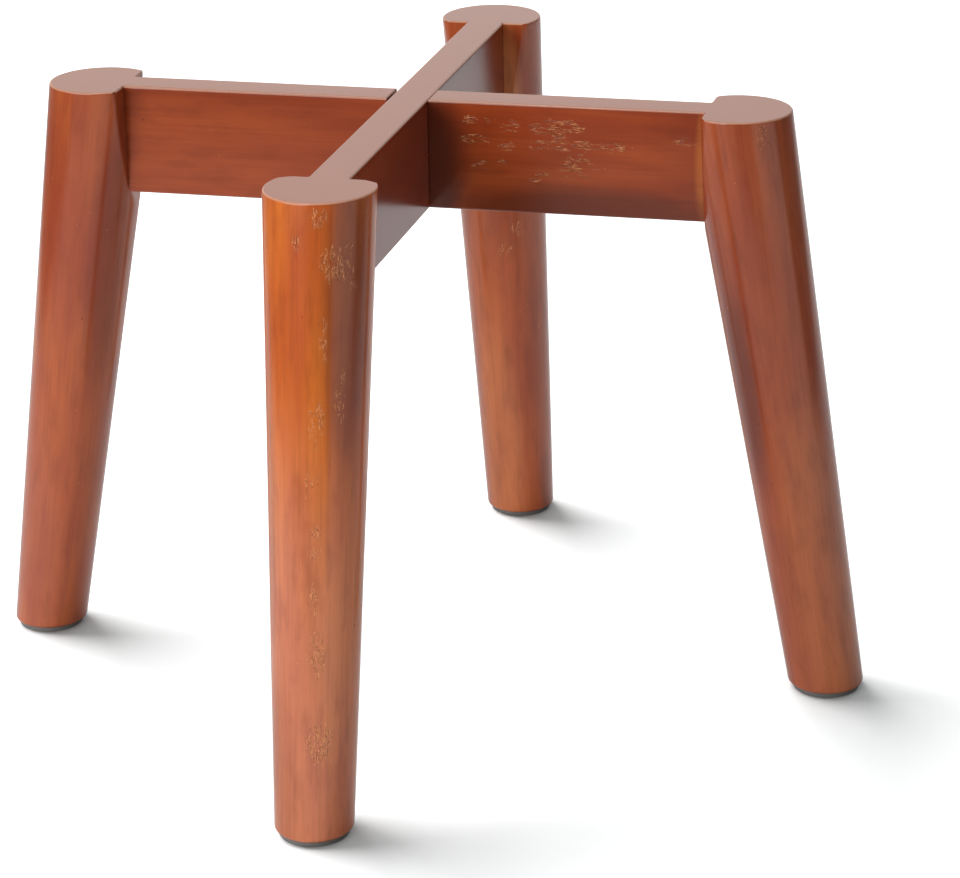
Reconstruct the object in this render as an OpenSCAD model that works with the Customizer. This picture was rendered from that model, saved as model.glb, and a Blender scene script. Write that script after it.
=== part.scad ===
// Wooden plant stand: two frames that cross at right angles under the pot.
// Each frame is a flat rail with a splayed, tapered round leg dowelled to either end.
// The rails are halved together dry at the middle, so the upper frame lifts off the lower one.
// Millimetres, +Z up, origin on the floor under the crossing of the rails.

/* [Overall] */
// Height from the floor to the flush top of rails and legs
stand_h = 229; // [160:1:400]
// Length of each rail, from one leg's flat to the other's
rail_len = 225; // [160:1:320]

/* [Rails] */
// Thickness of the rails
rail_t = 15; // [12:0.5:22]
// Height of the rails
rail_h = 42; // [32:1:60]
// Radius of the eased long edges of the rails
rail_ease = 0.9; // [0.3:0.1:2.5]

/* [Legs] */
// Diameter of a leg at its top, square to its own axis
leg_top_d = 40; // [34:0.5:52]
// Diameter of a leg at its foot, square to its own axis
leg_foot_d = 28.6; // [24:0.2:34]
// Lean of each leg away from the middle, in degrees
leg_splay = 9; // [4:0.5:14]
// How far the flat on a leg runs out below the rail that butts on it
flat_below = 8; // [2:0.5:20]
// How far the sanded arrises beside the flat are eased, at the top of a leg
arris_ease = 2; // [0.5:0.1:4]
// Width of the sanded bevel round the top of a leg
top_bevel = 0.8; // [0.3:0.1:2]
// Radius that the edge of a foot is rounded to, in two bevels
foot_round = 1.6; // [0.5:0.1:3]

/* [Halved joint] */
// Gap on each side of a rail in the other rail's notch
lap_side_gap = 0.5; // [0.2:0.05:1]
// Gap that each notch leaves under or over the other rail
lap_floor_gap = 0.3; // [0.1:0.05:0.8]
// Bevel on the mouth of each notch
lap_bevel = 0.3; // [0.1:0.1:2]

/* [Dowels] */
// Diameter of the dowels between rail and leg
dowel_d = 8; // [5:0.5:9]
// Length of the dowels, half in the rail and half in the leg
dowel_len = 30; // [20:1:38]
// Distance of a dowel's centre from the rail's nearer long edge
dowel_edge = 10; // [7:0.5:14]
// Glue clearance round a dowel in its hole
dowel_fit = 0.1; // [0.05:0.05:0.2]
// Glue space past each end of a dowel
dowel_end_gap = 0.8; // [0.2:0.1:2]
// Bevel on the ends of a dowel
dowel_bevel = 0.8; // [0.3:0.1:1.5]
// Number of glue flutes along a dowel
flute_count = 12; // [8:1:16]
// Diameter of the tool that cuts the flutes
flute_d = 0.9; // [0.5:0.1:1.2]

/* [Foot pads] */
// Thickness of the pads
pad_h = 2; // [1:0.5:5]
// How far a pad stays inside the edge of the foot
pad_inset = 1.6; // [0.5:0.1:4]
// Radius of a pad's worn lower edge
pad_round = 0.4; // [0.1:0.1:0.9]

/* [Hidden] */
$fn = 64;

// How far a cutter reaches past the face that it cuts through
over = 5;

// Lean from the upright of the two bevels that stand for a foot's rounded edge
steep_bevel = 22.5;
shallow_bevel = 67.5;

leg_top_r = leg_top_d / 2;
leg_foot_r = leg_foot_d / 2;
leg_rise = stand_h - pad_h;
leg_len = leg_rise / cos(leg_splay);
leg_taper = (leg_top_r - leg_foot_r) / leg_len;

// The flat is upright. It runs out where the leg's inner side has leaned past it, and that
// depth below the top sets how far the leg's axis stands outside the flat.
flat_len = rail_h + flat_below;
flat_run = (flat_len - leg_top_r * sin(leg_splay)) / (cos(leg_splay) - leg_taper * sin(leg_splay));
flat_inset = (leg_top_r - leg_taper * flat_run) * cos(leg_splay) - flat_run * sin(leg_splay);
leg_top_x = rail_len / 2 + flat_inset;
foot_x = leg_top_x + leg_rise * tan(leg_splay);

// The arrises are eased by a wider cone, set further out than the leg's own. At the top of the
// leg it takes arris_ease off each side of the flat, and it fades out just over the flat's foot.
arris_shift = leg_top_r;
arris_fade = 0.15;
flat_depth = flat_inset / cos(leg_splay);
flat_half = sqrt(pow(leg_top_r, 2) - pow(flat_depth, 2));
arris_top_r = norm([flat_half - arris_ease, flat_depth + arris_shift]);
arris_end_r = leg_top_r - leg_taper * flat_run + arris_shift + arris_fade;
arris_flare = (arris_end_r - arris_top_r) / flat_run;

rail_base = stand_h - rail_h;
notch_half = rail_t / 2 + lap_side_gap;
notch_depth = rail_h / 2 + lap_floor_gap;

hole_r = dowel_d / 2 + dowel_fit;
hole_len = dowel_len / 2 + dowel_end_gap;
upper_dowel_z = stand_h - dowel_edge;
lower_dowel_z = rail_base + dowel_edge;

pad_r = leg_foot_r - pad_inset;

// Every leg, pad and dowel is drawn on the right-hand side and turned to its own side
module at_right() children();
module at_back() rotate([0, 0, 90]) children();
module at_left() rotate([0, 0, 180]) children();
module at_front() rotate([0, 0, 270]) children();

// Section of a rail, with its four long edges eased
module rail_section() {
    square([rail_t - 2 * rail_ease, rail_h], center = true);
    square([rail_t, rail_h - 2 * rail_ease], center = true);
    for (side = [-1, 1], edge = [-1, 1])
        translate([side * (rail_t / 2 - rail_ease), edge * (rail_h / 2 - rail_ease)])
            circle(r = rail_ease);
}

// A rail along X before its joints are cut, with its length centred on the origin
module rail_blank() {
    rotate([90, 0, 90])
        linear_extrude(height = rail_len, center = true)
            rail_section();
}

// Outline of a notch that opens upwards, from the rail's mid height, with a bevelled mouth
module notch_outline() {
    mouth = rail_h / 2;
    polygon([
        [-notch_half, mouth - notch_depth],
        [notch_half, mouth - notch_depth],
        [notch_half, mouth - lap_bevel],
        [notch_half + lap_bevel, mouth],
        [notch_half + lap_bevel, mouth + over],
        [-notch_half - lap_bevel, mouth + over],
        [-notch_half - lap_bevel, mouth],
        [-notch_half, mouth - lap_bevel]
    ]);
}

// Two dowel holes in the end of a rail or in the flat of a leg on the right-hand side.
// depth reaches from the flat into the wood, and is negative towards the rail.
module dowel_holes(depth) {
    start = min(depth, -sign(depth) * over);
    for (z = [lower_dowel_z, upper_dowel_z])
        translate([rail_len / 2 + start, 0, z])
            rotate([0, 90, 0])
                cylinder(h = abs(depth) + over, r = hole_r);
}

// A rail along X at its height, notched from above, with its dowel holes
module notched_rail(notch_turn) {
    difference() {
        translate([0, 0, rail_base + rail_h / 2])
            difference() {
                rail_blank();
                rotate([90 + notch_turn, 0, 0])
                    linear_extrude(height = rail_t + 2 * over, center = true)
                        notch_outline();
            }
        at_right() dowel_holes(-hole_len);
        at_left() dowel_holes(-hole_len);
    }
}

// A tapered round that leans with the right-hand leg and is longer than the leg both ways.
// top_r is its radius at the leg's top, flare is what it gains for each millimetre down from
// there, and shift is how far its axis stands outside the leg's.
module leaning_round(top_r, flare, shift) {
    reach = leg_top_r;
    translate([foot_x, 0, pad_h])
        rotate([0, -leg_splay, 0])
            translate([shift, 0, -reach])
                cylinder(
                    h = leg_len + 2 * reach,
                    r1 = top_r + flare * (leg_len + reach),
                    r2 = top_r - flare * reach
                );
}

// The room that the top saw cut and its sanded bevel leave, round an upright line
module top_room() {
    rim_r = leg_top_r / cos(leg_splay) - top_bevel;
    translate([leg_top_x, 0, pad_h])
        cylinder(h = leg_rise, r1 = rim_r + leg_rise, r2 = rim_r);
}

// The room that the level foot cut and one of its two bevels leave, round an upright line
module foot_room(bevel_lean) {
    widening = tan(bevel_lean);
    rim_r = leg_foot_r / cos(leg_splay) - foot_round * min(1, widening);
    translate([foot_x, 0, pad_h])
        cylinder(h = leg_rise, r1 = rim_r, r2 = rim_r + widening * leg_rise);
}

// The right-hand leg: turned taper, level cuts at both ends, upright flat and dowel holes
module leg() {
    difference() {
        intersection() {
            leaning_round(leg_top_r, -leg_taper, 0);
            leaning_round(arris_top_r, arris_flare, arris_shift);
            top_room();
            foot_room(steep_bevel);
            foot_room(shallow_bevel);
        }
        translate([rail_len / 2 - leg_top_d, -leg_top_d, pad_h])
            cube([leg_top_d, 2 * leg_top_d, leg_rise + over]);
        dowel_holes(hole_len);
    }
}

// The pad under the right-hand foot, a disc with a rounded lower edge
module pad() {
    translate([foot_x, 0, 0])
        rotate_extrude() {
            translate([0, pad_round])
                square([pad_r, pad_h - pad_round]);
            square([pad_r - pad_round, pad_round]);
            intersection() {
                translate([pad_r - pad_round, pad_round])
                    circle(r = pad_round);
                translate([pad_r - pad_round, 0])
                    square(pad_round);
            }
        }
}

// The room that the bevel on one end of an upright dowel leaves
module dowel_end(turn) {
    end_r = dowel_d / 2 - dowel_bevel;
    rotate([turn, 0, 0])
        translate([0, 0, -dowel_len / 2])
            cylinder(h = dowel_len, r1 = end_r, r2 = end_r + dowel_len);
}

// A fluted dowel on the right-hand side, centred on the leg's flat
module dowel(z) {
    translate([rail_len / 2, 0, z])
        rotate([0, 90, 0])
            intersection() {
                linear_extrude(height = dowel_len, center = true)
                    difference() {
                        circle(d = dowel_d);
                        for (flute = [0:flute_count - 1])
                            rotate(flute * 360 / flute_count)
                                translate([dowel_d / 2, 0])
                                    circle(d = flute_d, $fn = 24);
                    }
                dowel_end(0);
                dowel_end(180);
            }
}

// Lower frame, along X: its rail is notched from above
module left_right_rail() color("#9c4a2e") notched_rail(0);
module left_leg() color("#a8532f") at_left() leg();
module right_leg() color("#a8532f") at_right() leg();
module left_foot_pad() color("#4b4e4e") at_left() pad();
module right_foot_pad() color("#4b4e4e") at_right() pad();
module left_upper_dowel() color("#d8b78a") at_left() dowel(upper_dowel_z);
module left_lower_dowel() color("#d8b78a") at_left() dowel(lower_dowel_z);
module right_upper_dowel() color("#d8b78a") at_right() dowel(upper_dowel_z);
module right_lower_dowel() color("#d8b78a") at_right() dowel(lower_dowel_z);

// Upper frame, along Y: its rail is notched from below and drops over the other
module front_back_rail() color("#8f4129") at_back() notched_rail(180);
module front_leg() color("#a8532f") at_front() leg();
module back_leg() color("#a8532f") at_back() leg();
module front_foot_pad() color("#4b4e4e") at_front() pad();
module back_foot_pad() color("#4b4e4e") at_back() pad();
module front_upper_dowel() color("#d8b78a") at_front() dowel(upper_dowel_z);
module front_lower_dowel() color("#d8b78a") at_front() dowel(lower_dowel_z);
module back_upper_dowel() color("#d8b78a") at_back() dowel(upper_dowel_z);
module back_lower_dowel() color("#d8b78a") at_back() dowel(lower_dowel_z);

left_right_rail();
left_leg();
right_leg();
left_foot_pad();
right_foot_pad();
left_upper_dowel();
left_lower_dowel();
right_upper_dowel();
right_lower_dowel();
front_back_rail();
front_leg();
back_leg();
front_foot_pad();
back_foot_pad();
front_upper_dowel();
front_lower_dowel();
back_upper_dowel();
back_lower_dowel();
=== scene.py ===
"""Low wooden plant stand: two rails halved together in a cross, a splayed leg at each rail end.

Metres, +Z up, origin on the floor under the crossing. Rails, legs and pads are modelled here as a
joiner would make them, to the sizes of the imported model, and the dowels hidden between rail and leg
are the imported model's own.
"""
import math

import bpy
from mathutils import Matrix, Quaternion, Vector


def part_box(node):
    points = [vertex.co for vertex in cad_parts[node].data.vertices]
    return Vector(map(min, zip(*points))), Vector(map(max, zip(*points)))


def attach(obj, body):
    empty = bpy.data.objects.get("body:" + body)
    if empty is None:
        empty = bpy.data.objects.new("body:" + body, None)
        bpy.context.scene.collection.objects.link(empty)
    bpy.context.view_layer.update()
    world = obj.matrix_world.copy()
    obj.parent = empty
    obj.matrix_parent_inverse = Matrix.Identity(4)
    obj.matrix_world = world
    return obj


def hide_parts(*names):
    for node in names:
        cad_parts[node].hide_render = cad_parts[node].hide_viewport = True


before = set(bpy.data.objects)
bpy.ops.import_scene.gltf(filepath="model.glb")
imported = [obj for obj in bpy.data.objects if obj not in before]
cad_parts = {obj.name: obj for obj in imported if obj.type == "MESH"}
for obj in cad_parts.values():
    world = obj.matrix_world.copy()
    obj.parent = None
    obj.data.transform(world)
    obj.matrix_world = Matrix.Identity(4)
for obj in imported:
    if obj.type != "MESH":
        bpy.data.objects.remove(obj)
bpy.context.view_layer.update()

MM = 0.001

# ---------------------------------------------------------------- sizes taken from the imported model

rail_low, rail_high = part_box("left_right_rail")
pad_low, pad_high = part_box("right_foot_pad")
dowel_low, dowel_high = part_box("right_upper_dowel")
lower_dowel_low, lower_dowel_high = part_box("right_lower_dowel")

STAND_H = rail_high.z
RAIL_LEN = rail_high.x - rail_low.x
RAIL_T = rail_high.y - rail_low.y
RAIL_H = rail_high.z - rail_low.z
RAIL_MID_Z = (rail_high.z + rail_low.z) / 2

PAD_H = pad_high.z
PAD_R = (pad_high.x - pad_low.x) / 2
FOOT_X = (pad_high.x + pad_low.x) / 2

DOWEL_R = (dowel_high.y - dowel_low.y) / 2
DOWEL_LEN = dowel_high.x - dowel_low.x
DOWEL_HEIGHTS = [(dowel_low.z + dowel_high.z) / 2, (lower_dowel_low.z + lower_dowel_high.z) / 2]

# ---------------------------------------------------------------- sizes that boxes don't give

LEG_TOP_R = 20 * MM
LEG_FOOT_R = 14.3 * MM
LEG_SPLAY = math.radians(9)
LEG_LEN = (STAND_H - PAD_H) / math.cos(LEG_SPLAY)
LEG_TAPER = (LEG_TOP_R - LEG_FOOT_R) / LEG_LEN
FLAT_BELOW_RAIL = 8 * MM
TOP_EASE = 0.8 * MM
FLAT_TOP_EASE = 0.5 * MM
FOOT_EASE = 1.6 * MM
# How far the arrises beside the flat are eased at the top: the front leg's most
ARRIS_EASE = {"right": 2.6 * MM, "back": 1.4 * MM, "left": 1.4 * MM, "front": 5 * MM}
ARRIS_FADE = 0.15 * MM

RAIL_EASE = 0.9 * MM
LAP_SIDE_GAP = 0.5 * MM
LAP_FLOOR_GAP = 0.3 * MM
LAP_BEVEL = 0.3 * MM
# The upper rail sits nearer the right-hand side of its notch
LAP_SHIFT = 0.35 * MM

DOWEL_FIT = 0.1 * MM
DOWEL_END_GAP = 0.8 * MM

PAD_ROUND = 0.5 * MM

# Sides of the rounds, and steps of the eased edges
LEG_SIDES = 128
PAD_SIDES = 96
HOLE_SIDES = 48
LEG_EASE_STEPS = 5
RAIL_EASE_STEPS = 4
PAD_ROUND_STEPS = 4
# Faces that meet at less than this are shaded as one
SMOOTH_UNDER = math.radians(30)

# How far a cutter reaches past the wood that it cuts
OVER = 20 * MM
TINY = 0.01 * MM

# Each leg's turn about the crossing, from the right-hand leg's place
SIDES = {"right": 0, "back": 90, "left": 180, "front": 270}
BODY_OF_SIDE = {
    "right": "left_right_frame", "left": "left_right_frame",
    "back": "front_back_frame", "front": "front_back_frame"}

# ---------------------------------------------------------------- camera, lights and floor

# The photograph's view: the point aimed at, the way to the camera, its roll and its lens
CAMERA_AIM = Vector((38.2, -58.8, 115)) * MM
CAMERA_DISTANCE = 1.2845
CAMERA_AZIMUTH = math.radians(14.42)
CAMERA_ELEVATION = math.radians(20.69)
CAMERA_ROLL = math.radians(1.24)
CAMERA_LENS_MM = 130.4
CAMERA_SENSOR_MM = 36
CAMERA_NEAREST = 0.05
CAMERA_FURTHEST = 50

# Light of the room where no patch falls
ROOM = 0.12
# name, azimuth, elevation, sharpness, strength
WALL_PATCHES = [
    ("back_wall", 195, 12, 6, 1.0),
]
# name, azimuth, elevation, distance, width, height, power in watts
SOFTBOXES = [
    ("fill_softbox", 327, 17, 1.6, 1.3, 0.8, 20),
    ("overhead_softbox", 180, 80, 1.5, 1.2, 1.2, 5),
    ("edge_softbox", 335, 62, 1.4, 0.2, 0.2, 1.8),
    ("right_card", 64, -8, 1.5, 1.34, 0.32, 1.2),
]
# name, azimuth, elevation, width of the sky that it fills in degrees, strength, colour.
# They light the floor to clear white, with a soft cool shadow on the right of each foot
FLOOR_SUNS = [
    ("floor_sun_left", 245, 44, 56, 9.7, "#ffffff"),
    ("floor_sun_above", 0, 90, 150, 2.3, "#f7ffff"),
]
FLOOR_LOW = (-8, -8)
FLOOR_HIGH = (8, 8)
FLOOR_WHITE = 0.5
# The board that the stand is on, as the lacquer mirrors it: it ends within the room
BOARD_LOW = (-0.67, -0.67)
BOARD_HIGH = (0.67, 1)
BOARD_DROP = 0.5 * MM
BOARD_WHITE = 0.25

# ---------------------------------------------------------------- looks of the wood

# Tones of pale, middling and dark wood, of painted light from the floor's bounce and haze, and of the
# crackle's rims, which paint their glints too
LEFT_LEG_TONES = ("#b65a2c", "#9c4326", "#702c1a", "#d4937a", "#f4a468")
FRONT_LEG_TONES = ("#d8732c", "#bf5824", "#702a18", "#d4937a", "#f4a468")
RIGHT_LEG_TONES = ("#ab522a", "#963e22", "#662616", "#d88450", "#f4a468")
BACK_LEG_TONES = ("#bc5c2c", "#a24826", "#702c1a", "#e08c50", "#f4a468")
RAIL_TONES = ("#b04e22", "#983c18", "#5e2410", "#e08238", "#eb9c60")
UPPER_RAIL_TONES = ("#8a381a", "#7a2e17", "#682614", "#e08238", "#eb9c60")
TOP_TONE = "#b25e2e"
# Edges round the top: sanded thin, and lightened as a painted highlight
WORN_AND_HIGHLIGHT_TONE = "#dca285"
KNOT_TONE = "#2a0f08"
# Cracks beside the crackle's rims, darkened partly as painted shade
CRACK_AND_SHADE_TONE = "#5a200c"

# Length of the crackle's rims
LEG_RIM_MM = 2.4
RAIL_RIM_MM = 5
# How far a crackled place lifts a noise, and the value at which the noise begins to be crackle and
# is so in full
CRACKLE_LIFT = 0.34
CRACKLE_FROM, CRACKLE_FULL = 0.7, 0.8
# Height of the lacquer's nibs and depth of its pores, as shares of a rim's height
NIB_HEIGHT = 0.6
PORE_DEPTH = 0.08
# How much of the figure a level top loses
TOP_FIGURE_LOSS = 0.7

# Crackled places, places of painted shade and places of painted light, each a centre and half sizes
# in
# millimetres and an amount: out, round and along a leg from its foot, and up, back and leftwards on
# the left-right rail
FRONT_LEG_CRACKLE = [
    ((18.5, 5, 222), (4, 5, 6), 0.9), ((19.5, -2, 213), (4, 4, 4), 0.8),
    ((17, 9.5, 205.5), (6, 7, 10), 0.95), ((13, 14.5, 205), (5, 5, 16), 0.6),
    ((18, 7, 178), (4, 3, 14), 0.7), ((18, 5, 150), (4, 5, 16), 0.8),
    ((14, 12.5, 158), (4, 4, 18), 0.7), ((17, 3, 128), (4, 5, 7), 0.8),
    ((16.3, 4.5, 108), (3, 4, 10), 0.8), ((16, 3.7, 88), (3, 2.5, 10), 0.9),
    ((15, 5, 68), (3, 5, 15), 0.9), ((13.5, 6, 35), (6, 9, 11), 1)]
FRONT_LEG_PAINTED_SHADE = [
    ((12, 14, 190), (13, 12, 80), 0.65), ((10, -14, 125), (6, 6, 95), 0.3),
    ((8, -12, 0), (20, 16, 80), 0.4)]
FRONT_LEG_PAINTED_LIGHT = [((10, -4, 52), (40, 30, 118), 0.36)]
RIGHT_LEG_CRACKLE = [((10, -16, 222), (5, 5, 7), 0.8)]
RIGHT_LEG_PAINTED_SHADE = [((-10, -12, 130), (9, 9, 60), 0.75)]
RIGHT_LEG_PAINTED_LIGHT = [((8, -10, 40), (20, 20, 110), 0.34)]
BACK_LEG_CRACKLE = [((-15, -9.5, 141), (4, 5, 5), 0.95), ((-17, -4, 132), (4, 4, 6), 0.6)]
BACK_LEG_PAINTED_LIGHT = [((-14, 4, 35), (12, 14, 95), 0.34), ((-15, -8, 205), (9, 8, 40), 0.8)]
LEFT_LEG_PAINTED_SHADE = [((-13, 12, 168), (9, 11, 85), 0.5)]
LEFT_LEG_PAINTED_LIGHT = [((6, 12, 20), (14, 20, 90), 0.12)]
RAIL_CRACKLE = [
    ((222.5, -7, -26), (3, 3, 9), 0.72), ((220.5, -7, -39), (4, 3, 7), 0.75),
    ((220.5, -7, -58), (6, 3, 17), 0.82), ((214, -7, -60), (4, 3, 26), 0.72),
    ((214, -7, -79), (3, 3, 11), 0.75), ((215, -7, -25), (3, 3, 10), 0.75),
    ((213, -7, -38), (3, 3, 7), 0.75), ((206, -7, -64), (7, 3, 13), 0.7),
    ((207, -7, -36), (2, 3, 5), 0.75), ((203, -7, -51), (2, 3, 6), 0.85),
    ((200, -7, -48.5), (1.5, 3, 4), 0.8), ((205, -7, -27), (3, 3, 9), 0.62),
    ((217.5, -7, -105), (3, 3, 8), 0.72)]
# Painted shade on the left-right rail: beside the crossing, along its lower edge and towards its ends
RAIL_PAINTED_SHADE = [
    ((188, -7, -70), (14, 12, 80), 0.75), ((200, -7, -6), (60, 12, 21), 0.9),
    ((205, -7, 90), (60, 12, 110), 0.2), ((200, -7, -130), (50, 12, 50), 0.3)]
RAIL_PAINTED_LIGHT = [((208, -7, -112.5), (30, 4, 4.5), 0.6)]

LEG_LOOKS = {
    "right": {"tones": RIGHT_LEG_TONES, "crackle": RIGHT_LEG_CRACKLE,
              "painted_shade": RIGHT_LEG_PAINTED_SHADE, "painted_light": RIGHT_LEG_PAINTED_LIGHT},
    "back": {"tones": BACK_LEG_TONES, "crackle": BACK_LEG_CRACKLE, "painted_light": BACK_LEG_PAINTED_LIGHT},
    "left": {"tones": LEFT_LEG_TONES, "painted_shade": LEFT_LEG_PAINTED_SHADE, "painted_light": LEFT_LEG_PAINTED_LIGHT},
    "front": {"tones": FRONT_LEG_TONES, "crackle": FRONT_LEG_CRACKLE,
              "painted_shade": FRONT_LEG_PAINTED_SHADE, "painted_light": FRONT_LEG_PAINTED_LIGHT}}

# The foot's middle, seen along the leg: a leg's grain is measured from it
LEG_GRAIN_START = Matrix.Rotation(LEG_SPLAY, 3, "Y") @ Vector((FOOT_X, 0, PAD_H))
# A rail's grain: its turn about Z, its lean from upright, and the point that it is measured from
LEFT_RIGHT_GRAIN = (0, math.pi / 2, (0, 0, 0))
FRONT_BACK_GRAIN = (math.pi / 2, math.pi / 2, (0, 0, 0))

# Each piece of wood draws its noises from the ten seeds that begin at its own
SEEDS_APART = 10
RAIL_SEED = 50
UPPER_RAIL_SEED = 60

# Z of a face's normal from which it counts as level, and as an edge round a level face, and from
# which it does so in full
LEVEL_FROM, LEVEL_FULL = 0.96, 0.995
EDGE_FROM, EDGE_FULL = 0.3, 0.6

# The same for lacquer, rubber and wood
IOR = 1.5
LACQUER_ROUGHNESS = 0.2
RUBBER_ROUGHNESS = 0.7
BARE_WOOD_ROUGHNESS = 0.65
# Height of the raised rims and of the rubber's grain
RELIEF = 0.05 * MM

SMOOTH_STEP = {"interpolation_type": "SMOOTHSTEP"}
# A region or a line holds in full in this share of its half width, and fades out from there
CORE = 0.4


# ---------------------------------------------------------------- helpers

def deselect_all():
    """Leaves edit mode, with no object selected."""
    if bpy.context.object and bpy.context.object.mode != "OBJECT":
        bpy.ops.object.mode_set(mode="OBJECT")
    bpy.ops.object.select_all(action="DESELECT")


def towards(azimuth, elevation):
    """Unit vector towards a place: azimuth 0 is in front of the stand, 90 degrees to its right."""
    level = math.cos(elevation)
    return Vector((math.sin(azimuth) * level, -math.cos(azimuth) * level, math.sin(elevation)))


def linear(hex_colour):
    """An sRGB colour such as #a8532f as linear RGBA."""
    channels = [int(hex_colour[i:i + 2], 16) / 255 for i in (1, 3, 5)]
    return [c / 12.92 if c <= 0.04045 else ((c + 0.055) / 1.055) ** 2.4 for c in channels] + [1]


def node(tree, kind, settings=None, inputs=None, output=0):
    """Adds a node and returns one of its outputs, if it has any.

    An input is given by its name or number, as a value or as the output that feeds it.
    """
    made = tree.nodes.new(kind)
    for name, value in (settings or {}).items():
        setattr(made, name, value)
    for name, value in (inputs or {}).items():
        if isinstance(value, bpy.types.NodeSocket):
            tree.links.new(value, made.inputs[name])
        else:
            made.inputs[name].default_value = value
    return made.outputs[output] if made.outputs else None


def new_material(name):
    """A material without nodes, and its node tree."""
    material = bpy.data.materials.new(name)
    material.use_nodes = True
    material.node_tree.nodes.clear()
    return material, material.node_tree


# ---------------------------------------------------------------- studio

def place_camera():
    """A long lens from a little above the stand, as the photograph was taken."""
    deselect_all()
    bpy.ops.object.camera_add()
    camera = bpy.context.object
    camera.name = "camera"
    back = towards(CAMERA_AZIMUTH, CAMERA_ELEVATION)
    camera.location = CAMERA_AIM + back * CAMERA_DISTANCE
    level = (-back).to_track_quat("-Z", "Y")
    camera.rotation_euler = (level @ Quaternion((0, 0, 1), -CAMERA_ROLL)).to_euler()
    camera.data.lens = CAMERA_LENS_MM
    camera.data.sensor_width = CAMERA_SENSOR_MM
    camera.data.clip_start = CAMERA_NEAREST
    camera.data.clip_end = CAMERA_FURTHEST
    bpy.context.scene.camera = camera


def light_room():
    """A dim room with soft bright patches on its walls."""
    world = bpy.data.worlds.new("studio")
    bpy.context.scene.world = world
    world.use_nodes = True
    tree = world.node_tree
    tree.nodes.clear()
    way = node(tree, "ShaderNodeTexCoord", output="Generated")
    total = node(tree, "ShaderNodeValue")
    total.default_value = ROOM
    for name, azimuth, elevation, sharpness, strength in WALL_PATCHES:
        middle = towards(math.radians(azimuth), math.radians(elevation))
        facing = node(tree, "ShaderNodeVectorMath", {"operation": "DOT_PRODUCT"}, {
            0: way, 1: middle}, output="Value")
        falloff = node(tree, "ShaderNodeMath", {"operation": "MULTIPLY_ADD"}, {
            0: facing, 1: sharpness, 2: -sharpness})
        patch = node(tree, "ShaderNodeMath", {"operation": "EXPONENT"}, {0: falloff})
        total = node(tree, "ShaderNodeMath", {"operation": "MULTIPLY_ADD", "name": name}, {
            0: patch, 1: strength, 2: total})
    light = node(tree, "ShaderNodeBackground", inputs={
        "Color": linear("#ffffff"), "Strength": total})
    node(tree, "ShaderNodeOutputWorld", inputs={"Surface": light})


def softbox(name, azimuth, elevation, distance, width, height, power):
    """A rectangular soft light that faces the middle of the stand."""
    deselect_all()
    bpy.ops.object.light_add(type="AREA")
    light = bpy.context.object
    light.name = name
    away = towards(math.radians(azimuth), math.radians(elevation))
    light.location = Vector((0, 0, RAIL_MID_Z)) + away * distance
    light.rotation_euler = (-away).to_track_quat("-Z", "Y").to_euler()
    light.data.shape = "RECTANGLE"
    light.data.size = width
    light.data.size_y = height
    light.data.energy = power


def floor_sun(name, azimuth, elevation, spread, strength, colour):
    """A wide, soft sun that shines from that side."""
    deselect_all()
    bpy.ops.object.light_add(type="SUN")
    sun = bpy.context.object
    sun.name = name
    away = towards(math.radians(azimuth), math.radians(elevation))
    sun.rotation_euler = (-away).to_track_quat("-Z", "Y").to_euler()
    sun.data.angle = math.radians(spread)
    sun.data.energy = strength
    sun.data.color = linear(colour)[:3]
    return sun


def card(name, low, high, height, white):
    """A level white sheet, as a piece of the stage."""
    deselect_all()
    middle = [(low[i] + high[i]) / 2 for i in (0, 1)]
    bpy.ops.mesh.primitive_plane_add(size=1, location=(*middle, height))
    sheet = bpy.context.object
    sheet.name = name
    sheet.scale = (high[0] - low[0], high[1] - low[1], 1)
    material, tree = new_material(name)
    shader = node(tree, "ShaderNodeBsdfDiffuse", inputs={"Color": (white, white, white, 1)})
    node(tree, "ShaderNodeOutputMaterial", inputs={"Surface": shader})
    sheet.data.materials.append(material)
    return sheet


def lay_floor():
    """The floor that the camera sees, and just under it the board that the lacquer mirrors.

    Suns of their own light both. The other lights pass the floor by, but not the board.
    """
    floor = card("floor", FLOOR_LOW, FLOOR_HIGH, 0, FLOOR_WHITE)
    floor.visible_diffuse = False
    floor.visible_glossy = False
    floor.visible_shadow = False
    board = card("board", BOARD_LOW, BOARD_HIGH, -BOARD_DROP, BOARD_WHITE)
    board.visible_camera = False
    white_ground = bpy.data.collections.new("white_ground")
    for sheet in (floor, board):
        white_ground.objects.link(sheet)
    all_but_floor = bpy.data.collections.new("all_but_floor")
    all_but_floor.objects.link(floor)
    all_but_floor.collection_objects[0].light_linking.link_state = "EXCLUDE"
    for light in [obj for obj in bpy.context.scene.objects if obj.type == "LIGHT"]:
        light.light_linking.receiver_collection = all_but_floor
    for settings in FLOOR_SUNS:
        floor_sun(*settings).light_linking.receiver_collection = white_ground


# ---------------------------------------------------------------- ways of working on a mesh

def near(value, wanted):
    """Whether two values are the same, but for rounding."""
    return abs(value - wanted) < TINY


def clear_selection(piece):
    """Leaves edit mode, with nothing selected in the piece's mesh."""
    bpy.ops.object.mode_set(mode="OBJECT")
    for part in (piece.data.vertices, piece.data.edges, piece.data.polygons):
        part.foreach_set("select", [False] * len(part))


def select_edges(piece, wanted):
    """Selects, in edit mode, the edges whose two ends satisfy wanted(a, b)."""
    clear_selection(piece)
    verts = piece.data.vertices
    for edge in piece.data.edges:
        a, b = (verts[i].co for i in edge.vertices)
        edge.select = wanted(a, b)
    bpy.ops.object.mode_set(mode="EDIT")
    bpy.ops.mesh.select_mode(type="EDGE")


def select_top(piece):
    """Selects, in edit mode, the faces that look up."""
    clear_selection(piece)
    for face in piece.data.polygons:
        face.select = near(face.normal.z, 1)
    bpy.ops.object.mode_set(mode="EDIT")
    bpy.ops.mesh.select_mode(type="FACE")


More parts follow.
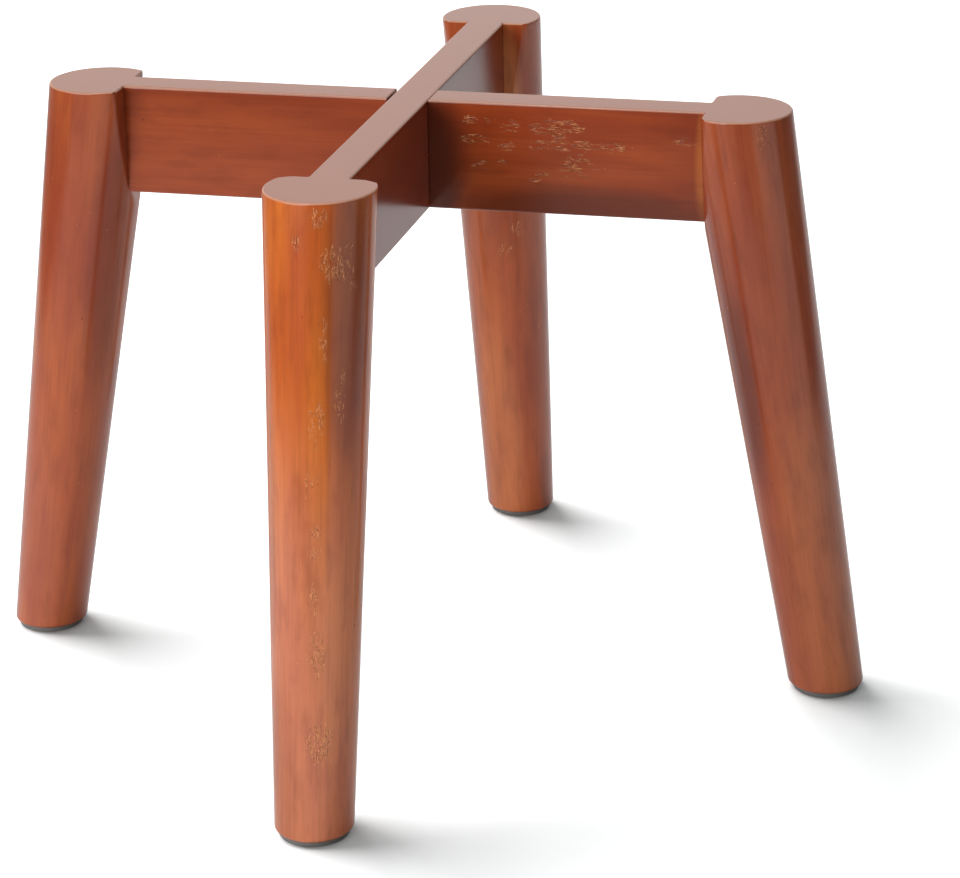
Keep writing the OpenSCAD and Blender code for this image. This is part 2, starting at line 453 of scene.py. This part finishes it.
def saw(point, normal):
    """A flat cut through the mesh in edit mode: the side that the normal points to falls away."""
    bpy.ops.mesh.select_all(action="SELECT")
    bpy.ops.mesh.bisect(plane_co=point, plane_no=normal, use_fill=True, clear_outer=True)


def bake_place(piece):
    """Puts the piece's place and turn into its mesh, with its object at the origin."""
    bpy.ops.object.mode_set(mode="OBJECT")
    piece.select_set(True)
    bpy.ops.object.transform_apply(location=True, rotation=True, scale=True)


def cut(piece, cutters, operation="DIFFERENCE"):
    """Cuts the piece with the cutters, or keeps what is inside them, and throws them away."""
    for cutter in cutters:
        deselect_all()
        bpy.context.view_layer.objects.active = piece
        boolean = piece.modifiers.new("cut", "BOOLEAN")
        boolean.operation = operation
        boolean.solver = "EXACT"
        boolean.object = cutter
        bpy.ops.object.modifier_apply(modifier=boolean.name)
        bpy.data.objects.remove(cutter)


def finish_surface(piece):
    """Smooth shading over the eased edges, with the flat faces kept flat."""
    deselect_all()
    piece.select_set(True)
    bpy.context.view_layer.objects.active = piece
    bpy.ops.object.shade_smooth_by_angle(angle=SMOOTH_UNDER)
    weigh = piece.modifiers.new("flat_faces", "WEIGHTED_NORMAL")
    weigh.keep_sharp = True
    bpy.ops.object.modifier_apply(modifier=weigh.name)


# ---------------------------------------------------------------- pieces

def dowel_bits(side, into):
    """Two drill bits at the right (side 1) or left (side -1) end of a rail.

    into is -1 to drill into the rail, 1 to drill into the leg.
    """
    depth = DOWEL_LEN / 2 + DOWEL_END_GAP
    middle = side * (RAIL_LEN / 2 + into * (depth - OVER) / 2)
    bits = []
    for height in DOWEL_HEIGHTS:
        deselect_all()
        bpy.ops.mesh.primitive_cylinder_add(
            vertices=HOLE_SIDES, radius=DOWEL_R + DOWEL_FIT, depth=depth + OVER,
            location=(middle, 0, height), rotation=(0, math.pi / 2, 0))
        bits.append(bpy.context.object)
    return bits


def leaning_round(top_r, flare, shift, sides):
    """A tapered round that leans as the right-hand leg does and reaches past both its ends.

    flare is what its radius gains for each metre down, and shift is how far it stands outside
    the leg's own axis.
    """
    up = Vector((-math.sin(LEG_SPLAY), 0, math.cos(LEG_SPLAY)))
    out = Vector((math.cos(LEG_SPLAY), 0, math.sin(LEG_SPLAY)))
    deselect_all()
    bpy.ops.mesh.primitive_cone_add(
        vertices=sides, depth=LEG_LEN + 2 * OVER,
        radius1=top_r + flare * (LEG_LEN + OVER), radius2=top_r - flare * OVER,
        location=Vector((FOOT_X, 0, PAD_H)) + up * LEG_LEN / 2 + out * shift,
        rotation=(0, -LEG_SPLAY, 0))
    piece = bpy.context.object
    bake_place(piece)
    return piece


def arris_room(ease):
    """The room that the eased arrises leave: a wider round, further out than the leg's own.

    At the top it takes ease off each side of the flat, and it fades out over the flat's foot.
    """
    slope = math.cos(LEG_SPLAY) - LEG_TAPER * math.sin(LEG_SPLAY)
    run = (RAIL_H + FLAT_BELOW_RAIL - LEG_TOP_R * math.sin(LEG_SPLAY)) / slope
    foot_r = LEG_TOP_R - LEG_TAPER * run
    depth = foot_r - run * math.tan(LEG_SPLAY)
    half_width = math.sqrt(LEG_TOP_R ** 2 - depth ** 2)
    top_r = math.hypot(half_width - ease, depth + LEG_TOP_R)
    flare = (foot_r + LEG_TOP_R + ARRIS_FADE - top_r) / run
    return leaning_round(top_r, flare, LEG_TOP_R, 2 * LEG_SIDES)


def flat_top_planes():
    """The waste of the eased top edge of the flat, on both sides of the rail."""
    reach = 2 * LEG_TOP_R
    planes = []
    for side in (-1, 1):
        deselect_all()
        bpy.ops.mesh.primitive_cube_add(
            size=1, location=(RAIL_LEN / 2, side * (RAIL_T + reach) / 2, STAND_H),
            rotation=(0, math.pi / 4, 0))
        plane = bpy.context.object
        plane.scale = (math.sqrt(2) * FLAT_TOP_EASE, reach, math.sqrt(2) * FLAT_TOP_EASE)
        bake_place(plane)
        planes.append(plane)
    return planes


def model_leg(arris_ease):
    """The right-hand leg: a tapered round, sawn level at both ends and upright at its flat."""
    leg = leaning_round(LEG_TOP_R, -LEG_TAPER, 0, LEG_SIDES)
    leg.name = "leg_pattern"
    bpy.ops.object.mode_set(mode="EDIT")
    saw((0, 0, STAND_H), (0, 0, 1))
    saw((0, 0, PAD_H), (0, 0, -1))
    for height, ease in ((STAND_H, TOP_EASE), (PAD_H, FOOT_EASE)):
        select_edges(leg, lambda a, b: near(a.z, height) and near(b.z, height))
        bpy.ops.mesh.bevel(offset=ease, segments=LEG_EASE_STEPS, profile=0.5, clamp_overlap=True)
    saw((RAIL_LEN / 2, 0, 0), (-1, 0, 0))
    bpy.ops.object.mode_set(mode="OBJECT")
    cut(leg, [arris_room(arris_ease)], "INTERSECT")
    cut(leg, flat_top_planes())
    cut(leg, dowel_bits(1, 1))
    finish_surface(leg)
    return leg


def notch_cutter():
    """The waste of the halving: as wide as the other rail with its gaps, flared at the mouth."""
    mouth = STAND_H
    low = mouth - RAIL_H / 2 - LAP_FLOOR_GAP
    neck = mouth - LAP_BEVEL
    width = RAIL_T + 2 * LAP_SIDE_GAP
    deselect_all()
    bpy.ops.mesh.primitive_cube_add(size=1, location=(-LAP_SHIFT, 0, (low + neck) / 2))
    cutter = bpy.context.object
    cutter.scale = (width, RAIL_T + 2 * OVER, neck - low)
    bake_place(cutter)
    select_top(cutter)
    flare = (width + 2 * LAP_BEVEL) / width
    bpy.ops.mesh.extrude_region_move(TRANSFORM_OT_translate={"value": (0, 0, LAP_BEVEL)})
    bpy.ops.transform.resize(value=(flare, 1, 1), center_override=(-LAP_SHIFT, 0, mouth))
    bpy.ops.mesh.extrude_region_move(TRANSFORM_OT_translate={"value": (0, 0, OVER)})
    bpy.ops.object.mode_set(mode="OBJECT")
    return cutter


def model_rail():
    """The left-right rail: a planed board with eased long edges, halved from above."""
    deselect_all()
    bpy.ops.mesh.primitive_cube_add(size=1, location=(0, 0, RAIL_MID_Z))
    rail = bpy.context.object
    rail.name = "rail_pattern"
    rail.scale = (RAIL_LEN, RAIL_T, RAIL_H)
    bake_place(rail)
    select_edges(rail, lambda a, b: abs(a.x - b.x) > RAIL_LEN / 2)
    bpy.ops.mesh.bevel(offset=RAIL_EASE, segments=RAIL_EASE_STEPS, profile=0.5)
    bpy.ops.object.mode_set(mode="OBJECT")
    cut(rail, [notch_cutter()])
    cut(rail, dowel_bits(1, -1) + dowel_bits(-1, -1))
    finish_surface(rail)
    return rail


def model_pad():
    """The pad under the right-hand foot: a stick-on rubber disc with a rounded lower edge."""
    deselect_all()
    bpy.ops.mesh.primitive_cylinder_add(
        vertices=PAD_SIDES, radius=PAD_R, depth=PAD_H, location=(FOOT_X, 0, PAD_H / 2))
    pad = bpy.context.object
    pad.name = "pad_pattern"
    bake_place(pad)
    select_edges(pad, lambda a, b: near(a.z, 0) and near(b.z, 0))
    bpy.ops.mesh.bevel(offset=PAD_ROUND, segments=PAD_ROUND_STEPS, profile=0.5)
    bpy.ops.object.mode_set(mode="OBJECT")
    finish_surface(pad)
    return pad


def copy_piece(pattern, name, move, body, nodes, material):
    """A copy of a pattern with its own mesh, moved to its place, on its body."""
    piece = pattern.copy()
    piece.data = pattern.data.copy()
    piece.name = name
    piece.data.name = name
    bpy.context.scene.collection.objects.link(piece)
    piece.data.transform(move)
    piece.data.materials.clear()
    piece.data.materials.append(material)
    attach(piece, body)
    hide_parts(*nodes)


# ---------------------------------------------------------------- patterns in the materials

def along_grain(tree, turn, lean, start):
    """Object coordinates turned so that Z runs along the grain, in metres from start.

    turn about Z and then lean about Y bring the piece's own grain direction to Z.
    """
    place = node(tree, "ShaderNodeTexCoord", output="Object")
    turned = node(tree, "ShaderNodeVectorRotate", {"rotation_type": "Z_AXIS"}, {
        "Vector": place, "Angle": -turn})
    upright = node(tree, "ShaderNodeVectorRotate", {"rotation_type": "Y_AXIS"}, {
        "Vector": turned, "Angle": lean})
    return node(tree, "ShaderNodeVectorMath", {"operation": "SUBTRACT"}, {0: upright, 1: start})


def noise(tree, place, seed, across_mm, along_mm, detail=2, distortion=0.0):
    """Noise whose patches are across_mm wide and along_mm long, from 0 to 1."""
    scaled = node(tree, "ShaderNodeVectorMath", {"operation": "MULTIPLY"}, {
        0: place, 1: (1 / (across_mm * MM), 1 / (across_mm * MM), 1 / (along_mm * MM))})
    return node(tree, "ShaderNodeTexNoise", {"noise_dimensions": "4D"}, {
        "Vector": scaled, "W": seed, "Scale": 1.0, "Detail": detail, "Roughness": 0.55,
        "Distortion": distortion}, output="Fac")


def marks(tree, place, seed, across_mm, along_mm, faint, full, detail=2):
    """Soft marks of about that size, where the noise is above faint, and strongest above full."""
    value = noise(tree, place, seed, across_mm, along_mm, detail)
    return node(tree, "ShaderNodeMapRange", SMOOTH_STEP, {
        "Value": value, "From Min": faint, "From Max": full})


def inside(tree, place, regions):
    """The amount that holds at a place, from egg-shaped regions: centre, half sizes, amount."""
    total = 0.0
    for centre, half, amount in regions:
        off = node(tree, "ShaderNodeVectorMath", {"operation": "SUBTRACT"}, {
            0: place, 1: [c * MM for c in centre]})
        off = node(tree, "ShaderNodeVectorMath", {"operation": "DIVIDE"}, {
            0: off, 1: [h * MM for h in half]})
        way_out = node(tree, "ShaderNodeVectorMath", {"operation": "LENGTH"}, {0: off},
                       output="Value")
        here = node(tree, "ShaderNodeMapRange", SMOOTH_STEP, {
            "Value": way_out, "From Min": CORE, "From Max": 1.0, "To Min": amount, "To Max": 0.0})
        total = node(tree, "ShaderNodeMath", {"operation": "MAXIMUM"}, {0: here, 1: total})
    return total


def ridge(tree, value, middle, half_width, within):
    """Thin lines where the value is near the middle, in the places that within gives."""
    off = node(tree, "ShaderNodeMath", {"operation": "SUBTRACT"}, {0: value, 1: middle})
    off = node(tree, "ShaderNodeMath", {"operation": "ABSOLUTE"}, {0: off})
    line = node(tree, "ShaderNodeMapRange", SMOOTH_STEP, {
        "Value": off, "From Min": half_width, "From Max": half_width * CORE})
    return node(tree, "ShaderNodeMath", {"operation": "MULTIPLY"}, {0: line, 1: within})


def specks(tree, place, seed, spacing_mm, radius_mm):
    """Round specks of about radius_mm where a sparse cloud of points meets the surface."""
    moved = node(tree, "ShaderNodeVectorMath", {"operation": "MULTIPLY_ADD"}, {
        0: place, 1: [1 / (spacing_mm * MM)] * 3, 2: [seed] * 3})
    distance = node(tree, "ShaderNodeTexVoronoi", inputs={"Vector": moved, "Scale": 1.0},
                    output="Distance")
    size = radius_mm / spacing_mm
    return node(tree, "ShaderNodeMapRange", SMOOTH_STEP, {
        "Value": distance, "From Min": size, "From Max": size * 0.5})


def crackle_lines(tree, place, seed, rim_mm, regions):
    """The crackle's raised rims, and the cracks beside them, in its regions.

    Its strokes run along the grain, about 0.5 mm apart and rim_mm long.
    """
    wave = noise(tree, place, seed, across_mm=0.5, along_mm=rim_mm, distortion=0.5)
    patches = noise(tree, place, seed + 1, across_mm=1.5, along_mm=5)
    patches = node(tree, "ShaderNodeMath", {"operation": "MULTIPLY_ADD"}, {
        0: inside(tree, place, regions), 1: CRACKLE_LIFT, 2: patches})
    crackled = node(tree, "ShaderNodeMapRange", SMOOTH_STEP, {
        "Value": patches, "From Min": CRACKLE_FROM, "From Max": CRACKLE_FULL})
    rims = ridge(tree, wave, middle=0.5, half_width=0.04, within=crackled)
    cracks = ridge(tree, wave, middle=0.57, half_width=0.04, within=crackled)
    return rims, cracks


def upturned(tree):
    """How far a face is level and looks up, and how far it is an edge round such a face."""
    facing = node(tree, "ShaderNodeTexCoord", output="Normal")
    up = node(tree, "ShaderNodeSeparateXYZ", inputs={0: facing}, output="Z")
    level = node(tree, "ShaderNodeMapRange", SMOOTH_STEP, {
        "Value": up, "From Min": LEVEL_FROM, "From Max": LEVEL_FULL})
    not_level = node(tree, "ShaderNodeMath", {"operation": "SUBTRACT"}, {0: 1.0, 1: level})
    leaning = node(tree, "ShaderNodeMapRange", SMOOTH_STEP, {
        "Value": up, "From Min": EDGE_FROM, "From Max": EDGE_FULL})
    edge = node(tree, "ShaderNodeMath", {"operation": "MULTIPLY"}, {0: leaning, 1: not_level})
    return level, edge


def lay_on(tree, colour, layers):
    """Lays tones over a colour one after another: where, how strongly, and which."""
    for where, strength, tone in layers:
        amount = node(tree, "ShaderNodeMath", {"operation": "MULTIPLY"}, {0: where, 1: strength})
        colour = node(tree, "ShaderNodeMix", {"data_type": "RGBA"}, {
            "Factor": amount, 6: colour, 7: linear(tone)}, output=2)
    return colour


def solid_shader(tree, colour, roughness, height=None, strength=1.0):
    """Ends the material of a solid that isn't metal, with a fine relief where it has a height."""
    inputs = {"Base Color": colour, "Roughness": roughness, "IOR": IOR}
    if height is not None:
        inputs["Normal"] = node(tree, "ShaderNodeBump", inputs={
            "Strength": strength, "Distance": RELIEF, "Height": height})
    shader = node(tree, "ShaderNodeBsdfPrincipled", inputs=inputs)
    node(tree, "ShaderNodeOutputMaterial", inputs={"Surface": shader})


# ---------------------------------------------------------------- materials

def stained_wood(name, grain, seed, rim_mm, tones, crackle=(), painted_shade=(), painted_light=()):
    """Beech, planed or turned, with a reddish-brown stain under a satin lacquer.

    Beech is close grained: its figure is a faint streak every 2 to 4 mm and fine dark pores less
    than 1 mm wide, along the piece. The stain takes unevenly, in cloudy patches some 20 mm wide,
    and is sanded thin on the edges round the top, which also carry a painted highlight. Painted
    shade darkens some given places, and painted light from the floor's bounce and haze lightens
    others. Where the lacquer went on too thick it dried in a crackle of raised rims, rim_mm long,
    painted pale as their glints, with the cracks beside them darkened partly as painted shade.
    """
    material, tree = new_material(name)
    place = along_grain(tree, *grain)
    pale, middle, dark, painted_light_tone, rim_and_glint_tone = tones
    level, edge = upturned(tree)
    figure = node(tree, "ShaderNodeMath", {"operation": "MULTIPLY_ADD"}, {
        0: level, 1: -TOP_FIGURE_LOSS, 2: 1.0})

    clouds = marks(tree, place, seed, across_mm=14, along_mm=80, faint=0.3, full=0.7)
    blots = marks(tree, place, seed + 6, across_mm=5, along_mm=16, faint=0.45, full=0.75)
    streaks = marks(tree, place, seed + 1, across_mm=1.3, along_mm=60, faint=0.4, full=0.75,
                    detail=4)
    pores = marks(tree, place, seed + 2, across_mm=0.5, along_mm=10, faint=0.62, full=0.78,
                  detail=1)
    knots = specks(tree, place, seed, spacing_mm=14, radius_mm=0.45)
    nibs = specks(tree, place, seed + 5, spacing_mm=11, radius_mm=0.3)
    nibs = node(tree, "ShaderNodeMath", {"operation": "MULTIPLY"}, {0: nibs, 1: NIB_HEIGHT})
    rims, cracks = crackle_lines(tree, place, seed + 3, rim_mm, crackle)
    rims = node(tree, "ShaderNodeMath", {"operation": "MAXIMUM"}, {0: rims, 1: nibs})

    layers = [
        (clouds, 1.0, middle),
        # painted light: the floor's bounce and reflected haze on the lower legs, and a few bright
        # strips
        (inside(tree, place, painted_light), 1.0, painted_light_tone),
        # painted shade on the shaded sides of the legs and beside the rails' crossing
        (inside(tree, place, painted_shade), 1.0, dark)]
    for fine_marks, depth in ((blots, 0.25), (streaks, 0.22), (pores, 0.22)):
        stained = node(tree, "ShaderNodeMath", {"operation": "MULTIPLY"}, {
            0: fine_marks, 1: depth})
        layers.append((stained, figure, dark))
    layers += [
        (knots, 0.7, KNOT_TONE),
        (level, 1.0, TOP_TONE),
        # edges round the top, sanded thin and with a painted highlight
        (edge, 0.8, WORN_AND_HIGHLIGHT_TONE),
        # cracks darkened, partly as painted shade
        (cracks, 0.4, CRACK_AND_SHADE_TONE),
        # rims and nibs painted pale as their glints
        (rims, 0.78, rim_and_glint_tone)]
    colour = lay_on(tree, linear(pale), layers)

    crackle_height = node(tree, "ShaderNodeMath", {"operation": "SUBTRACT"}, {0: rims, 1: cracks})
    height = node(tree, "ShaderNodeMath", {"operation": "MULTIPLY_ADD"}, {
        0: pores, 1: -PORE_DEPTH, 2: crackle_height})
    solid_shader(tree, colour, LACQUER_ROUGHNESS, height)
    return material


def sheet_rubber():
    """Moulded sheet rubber, dark grey and matt, with a faint fine grain."""
    material, tree = new_material("grey_sheet_rubber")
    place = node(tree, "ShaderNodeTexCoord", output="Object")
    grain = noise(tree, place, seed=1, across_mm=0.6, along_mm=0.6)
    colour = lay_on(tree, linear("#66625e"), [(grain, 1.0, "#75716d")])
    solid_shader(tree, colour, RUBBER_ROUGHNESS, height=grain, strength=0.3)
    return material


def bare_beech():
    """Bare turned beech, pale and matt, for the dowels that the joints hide."""
    material, tree = new_material("bare_beech")
    place = node(tree, "ShaderNodeTexCoord", output="Object")
    flecks = marks(tree, place, seed=1, across_mm=0.8, along_mm=0.8, faint=0.4, full=0.7)
    colour = lay_on(tree, linear("#d9b98a"), [(flecks, 1.0, "#c49d6b")])
    solid_shader(tree, colour, BARE_WOOD_ROUGHNESS)
    return material


# ---------------------------------------------------------------- the stand

place_camera()
light_room()
for settings in SOFTBOXES:
    softbox(*settings)
lay_floor()
bpy.context.scene.view_settings.view_transform = "Standard"

pad_pattern = model_pad()
pad_rubber = sheet_rubber()
for number, (side, degrees) in enumerate(SIDES.items()):
    angle = math.radians(degrees)
    turn = Matrix.Rotation(angle, 4, "Z")
    leg_wood = stained_wood(
        f"stained_beech_leg_{side}", (angle, LEG_SPLAY, LEG_GRAIN_START), number * SEEDS_APART,
        LEG_RIM_MM, **LEG_LOOKS[side])
    leg_pattern = model_leg(ARRIS_EASE[side])
    copy_piece(leg_pattern, f"leg_{side}", turn, BODY_OF_SIDE[side], [f"{side}_leg"],
               leg_wood)
    bpy.data.objects.remove(leg_pattern)
    copy_piece(pad_pattern, f"pad_{side}", turn, BODY_OF_SIDE[side], [f"{side}_foot_pad"],
               pad_rubber)

rail_pattern = model_rail()
rail_wood = stained_wood(
    "stained_beech_rail_left_right", LEFT_RIGHT_GRAIN, RAIL_SEED, RAIL_RIM_MM, RAIL_TONES,
    RAIL_CRACKLE, RAIL_PAINTED_SHADE, RAIL_PAINTED_LIGHT)
upper_rail_wood = stained_wood(
    "stained_beech_rail_front_back", FRONT_BACK_GRAIN, UPPER_RAIL_SEED, RAIL_RIM_MM,
    UPPER_RAIL_TONES)
centre = Matrix.Translation((0, 0, RAIL_MID_Z))
turned_over = centre @ Matrix.Rotation(math.pi, 4, "X") @ centre.inverted()
copy_piece(rail_pattern, "rail_left_right", Matrix.Identity(4), "left_right_frame",
           ["left_right_rail"], rail_wood)
copy_piece(rail_pattern, "rail_front_back", Matrix.Rotation(math.pi / 2, 4, "Z") @ turned_over,
           "front_back_frame", ["front_back_rail"], upper_rail_wood)

dowel_beech = bare_beech()
for name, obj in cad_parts.items():
    if name.endswith("_dowel"):
        obj.data.materials.clear()
        obj.data.materials.append(dowel_beech)

for pattern in (pad_pattern, rail_pattern):
    bpy.data.objects.remove(pattern)
